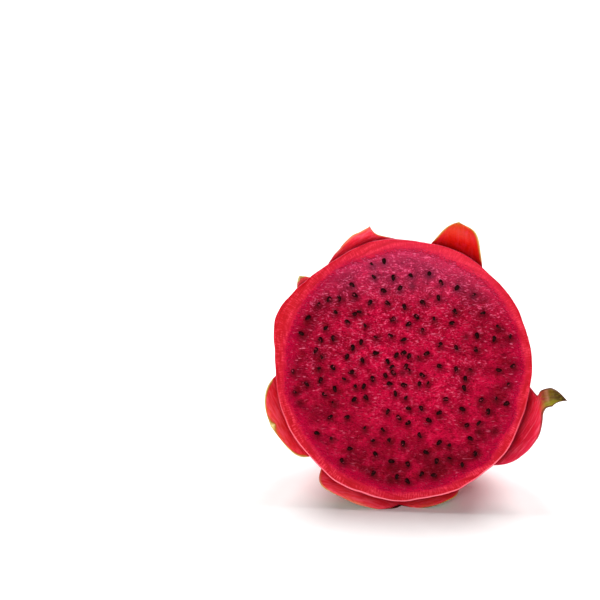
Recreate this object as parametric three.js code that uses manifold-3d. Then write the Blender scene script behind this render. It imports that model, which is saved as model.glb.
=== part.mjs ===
// Half of a red-fleshed dragon fruit, the stem end, cut across and resting on its side with the cut
// face to the front. Millimetres, +Z up, the cut face towards -Y, the origin on the flat it rests on.
//
// Two tissues that come apart by hand are two meshes:
//   peel   the skin, with every bract (scale) grown out of it and the stub of the stem
//   flesh  the pulp that fills the peel, with its seeds standing out of the cut
//
// The fruit's own frame, before it is leant back: +X to the right and +Y up the cut face as seen from
// the front, +Z out of the cut face. A place on it is a depth behind the cut, a radius and an angle in
// degrees, which turns from +X towards +Y.

import * as THREE from "three";
import { ParametricGeometry } from "three/addons/geometries/ParametricGeometry.js";
import { mergeVertices } from "three/addons/utils/BufferGeometryUtils.js";
import Module from "manifold-3d";

const wasm = await Module();
wasm.setup();

const DEGREE = Math.PI / 180;
const GOLDEN_ANGLE = 137.5;

// Body
const FACE_RADIUS = 45; // the cut is 90 mm across
const BODY_DEPTH = 54; // from the cut to the stem end
const FULLNESS = 2.5; // 2 is an ellipse, more is a blunter stem end
const OVALNESS = 0.008; // share by which the cut is longer across its long axis
const OVAL_ANGLE = 105; // the long axis of the cut
const FLATNESS = 0.022; // share by which the cut is shorter on its flatter side
const FLAT_ANGLE = 348;
const FLAT_SPAN = 28;
const LEAN = 17; // degrees that the cut face leans back from upright
const FACE_HEIGHT = 47.2; // the middle of the cut above the surface it rests on
const REST_Y = 11; // how far the middle of the resting flat lies behind the middle of the cut

// Peel and flesh
const PEEL_THICKNESS = 3.3;
const PEEL_GAP = 0.3; // clearance between peel and flesh
const HOLLOW_RADIUS = FACE_RADIUS - PEEL_THICKNESS;
const POLE_THICKNESS = 6; // the peel is thicker under the stem
const HOLLOW_DEPTH = BODY_DEPTH - POLE_THICKNESS;

// Stub of the stem, cut off short
const STUB_RADIUS = 5;
const STUB_FLARE = 1.5;
const STUB_FROM = BODY_DEPTH - 5;
const STUB_TO = BODY_DEPTH + 3;
const STUB_BEVEL = 1;
const STUB_FACETS = 12;

// Seeds on the cut
const SEED_LENGTH = 2.3;
const SEED_WIDTH = 1.5;
const SEED_PROUD = 0.5;
const SEED_TRIES = 420;
const SEED_SPACINGS = [1.7, 5.4]; // least distances from seed to seed, the short ones the rarer
const CORE_TRIES = 26; // the first tries all fall in the core, where the seeds stand closer
const CORE_RADIUS = 7;
const CORE_SPACING = 1.8;
const SEEDED_RADIUS = 0.93 * HOLLOW_RADIUS;
const SEED_DRAW = 7;

// Facets
const LAST_RING = 88 * DEGREE; // from the middle of the cut, short of the pole at 90
const BODY_AROUND = 60;
const BODY_ALONG = 14;
const HOLLOW_AROUND = 48;
const HOLLOW_ALONG = 9;
const BRACT_AROUND = 16;
const BRACT_ALONG = 12;

// A bract is a leaf-like scale. Its midrib is a cubic curve that leaves the skin at root
// [depth, angle], is drawn towards bend [depth, radius, angle] and ends at tip [depth, radius, angle].
// halfWidth is measured at the root. cup is the radius of its cross-section at the tip, less than 0
// where its back is hollow.
// blunt and taper shape its outline: a low blunt tapers evenly and a high one stays broad and then
// closes, and a taper above 1 draws its sides in.
// broad is the share of its length at which the blade closes, and tail the half width of the tail.
// notch is how far the middle of its end is drawn back.
// skew is how far the blade lies to one side of its midrib, as a share of halfWidth.
// swelling is how far its base lifts the skin.
const RIM_BRACTS = [
  // top right, curled back at its end
  {
    root: [22, 64], bend: [0, 47.5, 68.5], tip: [4, 54.8, 71], halfWidth: 11, cup: 13,
    blunt: 4, taper: 0.8, broad: 1, tail: 0.6, notch: 0, skew: 0, swelling: 2,
  },
  // top left
  {
    root: [18, 110.5], bend: [2, 46, 109], tip: [1, 51.6, 104.5], halfWidth: 18, cup: 60,
    blunt: 2.5, taper: 1.5, broad: 1, tail: 0.6, notch: 0, skew: -0.1, swelling: 3,
  },
  // small, upper left
  {
    root: [18, 143], bend: [4, 44, 141], tip: [2, 49, 139.5], halfWidth: 7, cup: 9,
    blunt: 2, taper: 0.8, broad: 1, tail: 1.5, notch: 0, skew: 0, swelling: 2,
  },
  // left, its end in two lobes
  {
    root: [18, 204], bend: [2, 46, 204], tip: [2, 50.8, 204.5], halfWidth: 16.2, cup: 80,
    blunt: 5, taper: 0.8, broad: 1, tail: 0.6, notch: 1.5, skew: 0.05, swelling: 2,
  },
  // lower left, broad, lying on the surface
  {
    root: [18, 252], bend: [2, 45, 252], tip: [1, 49.8, 252], halfWidth: 16, cup: -50,
    blunt: 7, taper: 0.8, broad: 1, tail: 0.6, notch: 0, skew: 0, swelling: 3,
  },
  // underneath
  {
    root: [24, 281], bend: [5, 45.5, 281], tip: [3, 48.6, 281], halfWidth: 12.5, cup: -50,
    blunt: 6, taper: 0.8, broad: 1, tail: 0.6, notch: 0, skew: 0, swelling: 1.6,
  },
  // right, fleshy, with a tail that turns outwards
  {
    root: [25, 332.5], bend: [-0.5, 44, 355.5], tip: [4.5, 57.3, 350.6], halfWidth: 17, cup: -52,
    blunt: 5.5, taper: 1.8, broad: 0.74, tail: 3.3, notch: 0, skew: -0.58, swelling: 7,
  },
];
const RIM_BRACT_THICKNESS = 4; // at the root

// The knife went through this bract just above its root, so only its swollen base is left.
const CUT_BRACT = { root: [1, 158], halfWidth: 15, swelling: 3.4 };

// The half rests on this bract behind its weight, so it lies along the surface.
const PROP_BRACT = {
  root: [46, 270], bend: [44, 40.4, 270], tip: [29, 39.2, 270], halfWidth: 11, cup: 50,
  blunt: 3, taper: 0.8, broad: 1, tail: 0.6, notch: 0, skew: 0, swelling: 1.6,
};

// Nearer the stem the bracts are smaller, and each stands a golden angle on from the last.
const REAR_BRACT_COUNT = 6;
const REAR_FIRST_ANGLE = 47.5;
const REAR_DEPTHS = [46, 36]; // root depth of the first and the last
const REAR_LENGTHS = [14, 18];
const REAR_HALF_WIDTHS = [8.5, 12];
const REAR_LIFTS = [6, 1.6]; // how far the tip stands off the skin
const REAR_BRACT_THICKNESS = 3;
const REAR_FORM = {
  cup: 14, blunt: 2, taper: 0.8, broad: 0.95, tail: 1.5, notch: 0, skew: 0, swelling: 1.6,
};
const REAR_BEND_SHARE = 0.7; // of the length, where the midrib is drawn outwards
const REAR_BEND_LIFT = 2;

// Every bract
const TIP_THICKNESS = 1;
const TAIL_SHARE = 0.16; // of the length, over which a tail narrows to its point
const TAIL_END = 0.02; // share of the tail's breadth left at the point
const NOTCH_BREADTH = 0.22; // share of the half width
const BURIED_LENGTH = 5; // of the midrib, inside the peel
const BURIED_DEPTH = 0.4; // of the outer face below the skin where the blade leaves it
const ROOT_SINK = 2.5; // the blade starts this much deeper, and comes out of the skin without a step
const ROOT_TUCK = 2; // and its margins deeper still
const LEAD_SHARE = 0.45; // how long the midrib keeps to the skin, as a share of the way to the bend
const SWELL_STEMWARD = 15; // the swelling under a bract fades over this length towards the stem
const SWELL_FACEWARD = 13; // and over this one towards the cut
const SWELL_BREADTH = 0.75; // of the bract's half width

/** The value at a share of the way from a to b. */
const mix = (a, b, share) => a + (b - a) * share;

/** Radius of the skin at a depth, before any swelling: a blunt half ellipse. */
function plainRadius(depth) {
  const share = Math.min(Math.max(depth / BODY_DEPTH, 0), 1);
  return FACE_RADIUS * Math.sqrt(1 - share ** FULLNESS);
}

/** The smallest turn from one angle to another. */
function turn(from, to) {
  return ((((to - from + 180) % 360) + 360) % 360) - 180;
}

/** How much longer a radius is on the oval cut at an angle, with a flatter side to the right. */
function oval(angle) {
  const flat = FLATNESS * Math.exp(-((turn(FLAT_ANGLE, angle) / FLAT_SPAN) ** 2));
  return 1 + OVALNESS * Math.cos(2 * DEGREE * (angle - OVAL_ANGLE)) - flat;
}

/** A point of the fruit's own frame. */
function place(depth, radius, angle) {
  return new THREE.Vector3(
    radius * Math.cos(angle * DEGREE),
    radius * Math.sin(angle * DEGREE),
    -depth,
  );
}

/** A bract near the stem: small, close to the skin, its tip lifted a little. */
function rearBract(index) {
  const share = index / (REAR_BRACT_COUNT - 1);
  const angle = (REAR_FIRST_ANGLE + index * GOLDEN_ANGLE) % 360;
  const depth = mix(...REAR_DEPTHS, share);
  const length = mix(...REAR_LENGTHS, share);
  const bendDepth = depth - REAR_BEND_SHARE * length;
  const tipDepth = depth - length;
  return {
    root: [depth, angle],
    bend: [bendDepth, plainRadius(bendDepth) + REAR_BEND_LIFT, angle],
    tip: [tipDepth, plainRadius(tipDepth) + mix(...REAR_LIFTS, share), angle],
    halfWidth: mix(...REAR_HALF_WIDTHS, share),
    thickness: REAR_BRACT_THICKNESS,
    ...REAR_FORM,
  };
}

const rimBracts = RIM_BRACTS.map((bract) => ({ ...bract, thickness: RIM_BRACT_THICKNESS }));
const propBract = { ...PROP_BRACT, thickness: REAR_BRACT_THICKNESS };
const rearBracts = Array.from({ length: REAR_BRACT_COUNT }, (_, index) => rearBract(index));
const grownBracts = [...rimBracts, propBract, ...rearBracts];

/** How far a bract's base lifts the skin: a bell across it and a long bell down towards the stem. */
function swellingUnder(bract, depth, angle) {
  const [rootDepth, rootAngle] = bract.root;
  const along = (depth - rootDepth) / (depth > rootDepth ? SWELL_STEMWARD : SWELL_FACEWARD);
  const arc = turn(rootAngle, angle) * DEGREE * plainRadius(depth);
  const across = arc / (SWELL_BREADTH * bract.halfWidth);
  return bract.swelling * Math.exp(-(along ** 2) - across ** 2);
}

/** Radius of the skin at a depth and an angle, swollen under the bracts and not at the pole. */
function skinRadius(depth, angle) {
  const plain = plainRadius(depth);
  const swelling = [...grownBracts, CUT_BRACT]
    .map((bract) => swellingUnder(bract, depth, angle))
    .reduce((sum, height) => sum + height, 0);
  return plain * oval(angle) + (swelling * plain) / FACE_RADIUS;
}

/** Radius of the hollow in the peel at a depth and an angle. */
function hollowRadius(depth, angle) {
  const share = Math.min(Math.max(depth / HOLLOW_DEPTH, 0), 1);
  return HOLLOW_RADIUS * oval(angle) * Math.sqrt(1 - share ** FULLNESS);
}

/** The manifold-3d solid inside a closed geometry. */
function solidOf(geometry) {
  const bare = geometry.clone();
  bare.deleteAttribute("normal");
  bare.deleteAttribute("uv");
  const merged = mergeVertices(bare, 1e-4);
  const mesh = new wasm.Mesh({
    numProp: 3,
    vertProperties: new Float32Array(merged.attributes.position.array),
    triVerts: new Uint32Array(merged.index.array),
  });
  mesh.merge();
  return new wasm.Manifold(mesh);
}

/** A flat-shaded geometry from a manifold-3d solid. */
function geometryOf(solid) {
  const mesh = solid.getMesh();
  const geometry = new THREE.BufferGeometry();
  geometry.setAttribute("position", new THREE.BufferAttribute(mesh.vertProperties, mesh.numProp));
  geometry.setIndex(new THREE.BufferAttribute(mesh.triVerts, 1));
  const facets = geometry.toNonIndexed();
  facets.computeVertexNormals();
  return facets;
}

/**
 * A closed surface of rings. ringPoint gives a point of a ring from the share of the way round it and
 * the share of the way along the rings; the first and last rings close on points of their own.
 */
function closedRings(ringPoint, firstPoint, lastPoint, around, along) {
  const steps = along + 2;
  const pointAt = (u, v, target) => {
    const step = Math.round(v * steps);
    if (step === 0) return target.copy(firstPoint);
    if (step === steps) return target.copy(lastPoint);
    return target.copy(ringPoint(u % 1, (step - 1) / along));
  };
  return new ParametricGeometry(pointAt, around, steps);
}

/** A half of an egg with a flat front: rings from the front back nearly to the pole. */
function halfEgg(radiusAt, front, depth, around, along) {
  const ringPoint = (u, v) => {
    const behind = depth * Math.sin(v * LAST_RING);
    const angle = -360 * u;
    return place(v === 0 ? front : behind, radiusAt(behind, angle), angle);
  };
  return closedRings(ringPoint, place(front, 0, 0), place(depth, 0, 0), around, along);
}

/** The midrib of a bract: out of the skin along it, then towards the bend and to the tip. */
function midribOf(bract) {
  const [rootDepth, rootAngle] = bract.root;
  const sunk = 0.5 * bract.thickness + BURIED_DEPTH;
  const startDepth = rootDepth + BURIED_LENGTH;
  const start = place(startDepth, skinRadius(startDepth, rootAngle) - sunk, rootAngle);
  const leaving = place(rootDepth, skinRadius(rootDepth, rootAngle) - sunk, rootAngle);
  const bend = place(...bract.bend);
  const lead = leaving.sub(start).normalize();
  lead.multiplyScalar(LEAD_SHARE * start.distanceTo(bend)).add(start);
  start.sub(place(0, ROOT_SINK, rootAngle));
  return new THREE.CubicBezierCurve3(start, lead, bend, place(...bract.tip));
}

/** Half the width of a bract's blade at a share of its length, without its tail. */
function bladeAt(bract, share) {
  const closed = Math.max(1 - (share / bract.broad) ** bract.blunt, 0);
  return bract.halfWidth * closed ** bract.taper;
}

/** Half the width of a bract's tail at a share of its length. */
function tailAt(bract, share) {
  const left = Math.min(Math.max((1 - share) / TAIL_SHARE, TAIL_END), 1);
  return bract.tail * left ** 0.8;
}

/** A bract: a thin lens of a section, bowed round the fruit at the root and cupped at the tip. */
function bractBlade(bract) {
  const midrib = midribOf(bract);
  const rootCurvature = 1 / plainRadius(bract.root[0]);
  const ringPoint = (u, share) => {
    const v = Math.sin(share * 0.5 * Math.PI);
    const at = midrib.getPoint(v);
    const forward = midrib.getTangent(v);
    const sideways = new THREE.Vector3(-at.y, at.x, 0);
    sideways.addScaledVector(forward, -sideways.dot(forward)).normalize();
    const outward = new THREE.Vector3().crossVectors(sideways, forward);
    const across = Math.cos(2 * Math.PI * u);
    const halfWidth = Math.max(bladeAt(bract, v), tailAt(bract, v));
    const aside = across * halfWidth + bract.skew * v * bladeAt(bract, v);
    const bowRadius = 1 / mix(rootCurvature, 1 / bract.cup, v);
    const bow = aside / bowRadius;
    const thickness = mix(bract.thickness, TIP_THICKNESS, v ** 0.7);
    const face = -0.5 * thickness * Math.sin(2 * Math.PI * u);
    const tuck = ROOT_TUCK * (1 - v) ** 3 * across ** 2;
    const notch = bract.notch * v ** 8 * Math.exp(-((across / NOTCH_BREADTH) ** 2));
    return at
      .addScaledVector(forward, -notch)
      .addScaledVector(sideways, bowRadius * Math.sin(bow))
      .addScaledVector(outward, face - tuck - bowRadius * (1 - Math.cos(bow)));
  };
  const end = midrib.getPoint(1).addScaledVector(midrib.getTangent(1), -bract.notch);
  return closedRings(ringPoint, midrib.getPoint(0), end, BRACT_AROUND, BRACT_ALONG);
}

/** The stub of the stem: a short woody peg that flares where it joins the fruit. */
function stemStub() {
  const profile = [
    new THREE.Vector2(0, -STUB_TO),
    new THREE.Vector2(STUB_RADIUS - STUB_BEVEL, -STUB_TO),
    new THREE.Vector2(STUB_RADIUS, -STUB_TO + STUB_BEVEL),
    new THREE.Vector2(STUB_RADIUS, -BODY_DEPTH),
    new THREE.Vector2(STUB_RADIUS + STUB_FLARE, -STUB_FROM),
    new THREE.Vector2(0, -STUB_FROM),
  ];
  return new THREE.LatheGeometry(profile, STUB_FACETS).rotateX(0.5 * Math.PI);
}

/** Places for the seeds: random on the cut, none too near another, closer together at the core. */
function seedPlaces() {
  const random = THREE.MathUtils.seededRandom;
  random(SEED_DRAW);
  const places = [];
  for (let attempt = 0; attempt < SEED_TRIES; attempt += 1) {
    const inCore = attempt < CORE_TRIES;
    const radius = (inCore ? CORE_RADIUS : SEEDED_RADIUS) * Math.sqrt(random());
    const angle = 360 * random();
    const turned = 180 * random();
    const apart = mix(...SEED_SPACINGS, Math.sqrt(random()));
    const at = place(0, radius, angle);
    const spacing = inCore ? CORE_SPACING : apart;
    if (places.every((other) => other.at.distanceTo(at) > spacing)) places.push({ at, turned });
  }
  return places;
}

/** A seed half sunk in the cut: a long, low drop. */
function seedSolid({ at, turned }) {
  const seed = new THREE.OctahedronGeometry(1, 0);
  seed.scale(0.5 * SEED_LENGTH, 0.5 * SEED_WIDTH, SEED_PROUD);
  seed.rotateZ(turned * DEGREE);
  seed.translate(at.x, at.y, 0);
  return solidOf(seed);
}

// The fruit leans back on the surface that it rests on.
const fruit = new THREE.Group();
fruit.name = "dragon_fruit_half";
fruit.rotation.x = (90 - LEAN) * DEGREE;
fruit.position.set(0, -REST_Y, FACE_HEIGHT);
fruit.updateMatrixWorld();

/** The space below the surface, in the fruit's own frame. */
function belowSurface() {
  const block = new THREE.BoxGeometry(300, 300, 40).translate(0, 0, -20);
  return solidOf(block.applyMatrix4(fruit.matrixWorld.clone().invert()));
}

/** The peel: an egg-shaped cup with its bracts and the stem's stub, flat where it rests. */
function peelSolid() {
  const skin = solidOf(halfEgg(skinRadius, 0, BODY_DEPTH, BODY_AROUND, BODY_ALONG));
  const hollow = solidOf(halfEgg(hollowRadius, -1, HOLLOW_DEPTH, HOLLOW_AROUND, HOLLOW_ALONG));
  return grownBracts
    .map((bract) => solidOf(bractBlade(bract)))
    .reduce((whole, blade) => whole.add(blade), skin.add(solidOf(stemStub())))
    .subtract(hollow)
    .subtract(belowSurface());
}

/** The flesh: it fills the hollow with a small gap, and its seeds stand out of the cut. */
function fleshSolid() {
  const shrink = 1 - PEEL_GAP / HOLLOW_RADIUS;
  const pulp = halfEgg(hollowRadius, 0, HOLLOW_DEPTH, HOLLOW_AROUND, HOLLOW_ALONG);
  pulp.scale(shrink, shrink, shrink);
  return seedPlaces()
    .map(seedSolid)
    .reduce((whole, seed) => whole.add(seed), solidOf(pulp));
}

/** A named mesh of one tissue. */
function tissue(name, solid, color, roughness) {
  const material = new THREE.MeshStandardMaterial({ color, roughness, metalness: 0 });
  const mesh = new THREE.Mesh(geometryOf(solid), material);
  mesh.name = name;
  return mesh;
}

fruit.add(tissue("peel", peelSolid(), 0xd62845, 0.45));
fruit.add(tissue("flesh", fleshSolid(), 0xa50f35, 0.3));

export default fruit;
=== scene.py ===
"""Half of a red-fleshed dragon fruit, the stem end, lying on its side with the cut to the front.

Shapes are worked out in millimetres in the fruit's own frame: +X to the right and +Y up the cut as
seen from the front, +Z out of the cut. A place in it is a depth behind the cut, a radius and an angle
in degrees, which turns from +X towards +Y. in_room() leans the fruit back onto the surface.
"""

import bpy
import numpy as np
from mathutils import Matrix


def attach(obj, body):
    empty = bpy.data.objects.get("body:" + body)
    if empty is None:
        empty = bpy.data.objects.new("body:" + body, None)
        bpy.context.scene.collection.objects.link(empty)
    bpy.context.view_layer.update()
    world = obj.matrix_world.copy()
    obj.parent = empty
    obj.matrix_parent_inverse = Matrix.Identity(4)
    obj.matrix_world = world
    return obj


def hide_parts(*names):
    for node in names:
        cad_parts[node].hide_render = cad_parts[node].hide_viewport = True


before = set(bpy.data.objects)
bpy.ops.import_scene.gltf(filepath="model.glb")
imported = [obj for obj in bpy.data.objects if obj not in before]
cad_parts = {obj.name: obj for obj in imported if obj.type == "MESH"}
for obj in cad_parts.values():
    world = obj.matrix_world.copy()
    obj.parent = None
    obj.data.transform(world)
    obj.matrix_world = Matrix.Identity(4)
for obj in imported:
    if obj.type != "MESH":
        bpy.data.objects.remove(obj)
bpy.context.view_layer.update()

# Body
FACE_RADIUS = 45.0  # the cut is 90 mm across
BODY_DEPTH = 54.0  # from the cut to the stem end
FULLNESS = 2.5  # 2 is an ellipse, more is a blunter stem end
OVALNESS = 0.008  # share added to the radius along the cut's long axis, and taken off across it
OVAL_ANGLE = 105.0  # of the long axis
FLATNESS = 0.022  # share taken off the radius on its flatter side
FLAT_ANGLE = 348.0  # of the middle of that side
FLAT_SPAN = 28.0  # how many degrees it fades over
LEAN = 17.0  # degrees that the cut leans back from upright
FACE_CENTRE = np.array([0.0, -11.0, 47.2])  # the middle of the cut above the resting flat
PEEL_THICKNESS = 3.3
POLE_THICKNESS = 6.0  # the peel is thicker under the stem
PEEL_GAP = 0.3  # between the pulp and the peel, behind the cut
HOLLOW_RADIUS = FACE_RADIUS - PEEL_THICKNESS
HOLLOW_DEPTH = BODY_DEPTH - POLE_THICKNESS
MILLIMETRE = 0.001

# Cut
KNIFE_EDGE = 0.6  # radius of the soft corner between the cut and the skin
PULP_PROUD = 0.15  # the pulp swells this far out of the cut once the peel's pull is gone
PULP_LAP = 0.35  # and spreads this far over the inner edge of the rind

# Relief: the height, wave length and random draw of each set of waves in it
SKIN_RELIEF = [(0.22, 19, 11), (0.07, 6, 12)]
CUT_RELIEF = [(0.05, 5, 21)]
OUTLINE_RELIEF = [(0.35, 16, 31)]  # where the pulp ends at the rind
STUB_RELIEF = [(0.08, 1.8, 41)]
PULP_RELIEF = [(0.09, 2.4, 51), (0.06, 1.3, 52), (0.07, 7, 53)]
STREAK_STRETCH = 0.12  # how fine the skin's streaks are along it, as a share of across it

# Rows of points in each stretch of the peel and the pulp
WALL_ROWS = 12
CUT_ROWS = 16
CORNER_ROWS = 7
SKIN_ROWS = 150
DOME_ROWS = 14
PULP_ROWS = 149
HOLLOW_END = 88.0  # how many degrees round from the cut the hollow's last row lies
SKIN_END = 89.5  # and the skin's

# Stub of the stem
STUB_RADIUS = 5.0
STUB_FLARE = 1.5
STUB_FROM = BODY_DEPTH - 5.0
STUB_TO = BODY_DEPTH + 3.0
STUB_BEVEL = 0.8

# Seeds
SEED_LENGTH = 2.3
SEED_WIDTH = 1.5
SEED_PROUD = 0.5
SEED_TRIES = 420
SEED_SPACINGS = [1.7, 5.4]  # least distances from seed to seed, the near ones the rarer
CORE_RADIUS = 7.0
CORE_SPACING = 1.8
CORE_TRIES = 26  # the first tries all fall in the core
SEEDED_RADIUS = 0.93 * HOLLOW_RADIUS
SEED_DRAW = 7
SINK_DRAW = 5
SINK_LEAST, SINK_SPREAD = 0.1, 0.5  # how deep a seed's middle lies in the pulp, and how much deeper
DENT_DEPTH, DENT_REACH = 0.12, 1.6  # of the dent in the pulp round a seed
SHADE_DEPTH, SHADE_REACH = 0.85, 1.7  # of the painted shade round a seed, where a sunken seed also shows through the pulp
SHADE_RIGHT, SHADE_DOWN = 0.2, 0.5  # how far to the right of the seed and below it that lies

# A bract is a leaf-like scale. Its midrib leaves the skin at root [depth, angle], is drawn towards
# bend [depth, radius, angle] and ends at tip [depth, radius, angle]. half_width is measured at the
# root, and cup is the radius of its section at the tip, less than 0 where its back is hollow. A low
# blunt tapers evenly and a high one stays broad and then closes, and a taper above 1 draws its sides
# in. broad is the share of its length at which the blade closes, tail the half width of the tail,
# notch how far the middle of its end is drawn back, skew how far it lies to one side of its midrib,
# as a share of its half width, and swelling how far its base lifts the skin.
# warmth is how orange the inner side is, dryness how tan the margin is, and withered how brown and
# olive the tip is. open is added to its distance from the skin, so that it takes less of the deeper
# red near the skin, partly painted shade in the crease, or more where open is less than 0. vein_turn
# is how many degrees its inner side's veins run askew.
PLAIN_BRACT = dict(thickness=4.0, taper=0.8, broad=1, tail=0.6, notch=0, skew=0, withered=0.0, open=0,
                   vein_turn=0)
RIM_BRACTS = {
    "top_right": dict(root=[22, 64], bend=[0, 47.5, 68.5], tip=[4, 54.8, 71], half_width=11, cup=13,
                      blunt=4, swelling=2, warmth=1.0, dryness=0.8, open=10),
    "top_left": dict(root=[18, 110.5], bend=[2, 46, 109], tip=[1, 51.6, 104.5], half_width=18, cup=60,
                     blunt=2.5, taper=1.5, skew=-0.1, swelling=3, warmth=0.3, dryness=0.2, open=1.4,
                     vein_turn=60),
    "upper_left": dict(root=[18, 143], bend=[4, 44, 141], tip=[2, 49, 139.5], half_width=7, cup=9,
                       blunt=2, tail=1.5, swelling=2, warmth=0.0, dryness=1.0, withered=0.3, open=10),
    "left": dict(root=[18, 204], bend=[2, 46, 204], tip=[2, 50.8, 204.5], half_width=16.2, cup=80,
                 blunt=5, notch=1.5, skew=0.05, swelling=2, warmth=0.45, dryness=1.0, open=2,
                 vein_turn=85),
    "lower_left": dict(root=[18, 252], bend=[2, 45, 252], tip=[1, 49.8, 252], half_width=16, cup=-50,
                       blunt=7, swelling=3, warmth=0.3, dryness=0.25, vein_turn=85),
    "underneath": dict(root=[24, 281], bend=[5, 45.5, 281], tip=[3, 48.6, 281], half_width=12.5,
                       cup=-50, blunt=6, swelling=1.6, warmth=0.5, dryness=0.0, open=-3, vein_turn=85),
    "right": dict(root=[25, 332.5], bend=[-0.5, 44, 355.5], tip=[4.5, 57.3, 350.6], half_width=17,
                  cup=-52, blunt=5.5, taper=1.8, broad=0.74, tail=3.3, skew=-0.58, swelling=7,
                  warmth=0.0, dryness=1.0, withered=1.0, vein_turn=-45),
}
# The knife went through this bract just above its root, so only its swollen base is left.
CUT_BRACT = dict(root=[1, 158], half_width=15, swelling=3.4)
# The half rests on this bract behind its weight, so it lies along the surface.
PROP_BRACT = dict(root=[46, 270], bend=[44, 40.4, 270], tip=[29, 39.2, 270], half_width=11, cup=50,
                  blunt=3, swelling=1.6, thickness=3, warmth=0.0, dryness=0.3, withered=0.3)
# Nearer the stem the bracts are smaller, and each stands a golden angle on from the last.
REAR_COUNT = 6
REAR_FIRST_ANGLE = 47.5
GOLDEN_ANGLE = 137.5
REAR_THICKNESS = 3
REAR_DEPTHS = [46, 36]  # root depth of the first and the last
REAR_LENGTHS = [14, 18]
REAR_HALF_WIDTHS = [8.5, 12]
REAR_LIFTS = [6, 1.6]  # how far the tip stands off the skin
REAR_BEND_SHARE = 0.7  # of the length, where the midrib is drawn outwards
REAR_BEND_LIFT = 2
TIP_THICKNESS = 1.0
TAIL_SHARE = 0.16  # of the length, over which a tail narrows to its point
NOTCH_BREADTH = 0.22  # of the half width
BURIED_LENGTH = 5.0  # of the midrib, inside the peel
BURIED_DEPTH = 0.4  # of the outer face below the skin where the blade leaves it
CLOSED_SHARE = 0.08  # of the length, over which the blade thickens from its buried end
CLOSED_THICKNESS = 0.1  # share of its thickness at that end, which so stays under the skin
ROOT_SINK = 2.5  # the blade starts this much deeper
ROOT_TUCK = 2.0  # and its margins deeper still
BLADE_GRID = 72  # rows and columns of a blade's points
RUFFLE, RUFFLE_LENGTH = 0.3, 13  # height and length of the waves of its margins
DIMPLE, DIMPLE_LENGTH = 0.08, 5  # and of the low relief all over it
RIB_HEIGHT, RIBS = 0.1, 3.5  # of the low ribs along it, counted from the midrib to a margin
RIB_WANDER, WANDER_LENGTH = 0.3, 16  # how many ribs' breadths they stray, and over what length
LEAD_SHARE = 0.45  # how long the midrib keeps to the skin, as a share of the way to the bend
FRESH_MARGIN = 6.0  # added to the distance from the margin where it is too near the skin to dry
DRYING_GAP = [0.2, 1.5]  # how far off the skin it starts to dry, and is dry
SWELL_STEMWARD = 15.0  # the swelling under a bract fades over this length towards the stem
SWELL_FACEWARD = 13.0  # and over this one towards the cut
SWELL_BREADTH = 0.75  # of the bract's half width


def mix(low, high, share):
    """The value at a share of the way from low to high."""
    return low + (high - low) * share


def ease(low, high, value):
    """0 below low, 1 above high, and a smooth S between."""
    share = np.clip((value - low) / (high - low), 0, 1)
    return share * share * (3 - 2 * share)


def place(depth, radius, angle):
    """Points of the fruit's own frame."""
    turned = np.radians(angle)
    return np.stack(np.broadcast_arrays(radius * np.cos(turned), radius * np.sin(turned), -depth), -1)


def in_room(points):
    """Leans the fruit's own frame back onto the surface, flattens what would reach below it, and turns
    millimetres to metres."""
    lean = np.radians(LEAN)
    axes = np.array([
        [1, 0, 0],
        [0, np.sin(lean), np.cos(lean)],
        [0, -np.cos(lean), np.sin(lean)],
    ])
    room = FACE_CENTRE + points @ axes
    room[..., 2] = np.maximum(room[..., 2], 0)
    return room * MILLIMETRE


def waves(points, length, draw, count=24):
    """A smooth random relief of about -2 to 2: the sum of plane cosine waves of one length, each in a
    random direction with a random start."""
    random = np.random.default_rng(draw)
    directions = random.normal(size=(count, 3))
    directions /= np.linalg.norm(directions, axis=1, keepdims=True)
    starts = random.uniform(0, 2 * np.pi, count)
    return np.cos(points @ directions.T * (2 * np.pi / length) + starts).sum(-1) * np.sqrt(2 / count)


def relief(points, parts):
    """The sum of a few sets of such waves, each with its own height, length and draw."""
    return sum(height * waves(points, length, draw) for height, length, draw in parts)


def ring_angles(columns):
    """The angles of a ring's columns, evenly round it."""
    return np.linspace(0, 360, columns, endpoint=False)[None, :]


def plain_radius(depth):
    """Radius of the skin at a depth, before any swelling: a blunt half ellipse."""
    share = np.clip(depth / BODY_DEPTH, 0, 1)
    return FACE_RADIUS * np.sqrt(1 - share ** FULLNESS)


def turn(start, end):
    """The smallest turn from one angle to another."""
    return (end - start + 180) % 360 - 180


def oval(angle):
    """How much longer a radius is on the oval cut at an angle, with a flatter side to the right."""
    flat = FLATNESS * np.exp(-(turn(FLAT_ANGLE, angle) / FLAT_SPAN) ** 2)
    return 1 + OVALNESS * np.cos(np.radians(2 * (angle - OVAL_ANGLE))) - flat


def rear_bract(index):
    """A bract near the stem: small, close to the skin, its tip lifted a little. Its measures go evenly
    from those of the first to those of the last."""
    share = index / (REAR_COUNT - 1)
    angle = (REAR_FIRST_ANGLE + index * GOLDEN_ANGLE) % 360
    depth = mix(*REAR_DEPTHS, share)
    length = mix(*REAR_LENGTHS, share)
    bend_depth = depth - REAR_BEND_SHARE * length
    tip_depth = depth - length
    return dict(
        root=[depth, angle],
        bend=[bend_depth, plain_radius(bend_depth) + REAR_BEND_LIFT, angle],
        tip=[tip_depth, plain_radius(tip_depth) + mix(*REAR_LIFTS, share), angle],
        half_width=mix(*REAR_HALF_WIDTHS, share), cup=14, blunt=2, broad=0.95, tail=1.5,
        swelling=1.6, thickness=REAR_THICKNESS, warmth=0.5, dryness=0.8, withered=0.3,
    )


BRACTS = {f"bract_{name}": {**PLAIN_BRACT, **bract} for name, bract in {
    **RIM_BRACTS, "prop": PROP_BRACT,
    **{f"rear_{index + 1}": rear_bract(index) for index in range(REAR_COUNT)},
}.items()}
COVERED_BRACT = "bract_rear_3"  # its blade would lie inside the swelling under the right bract


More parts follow.
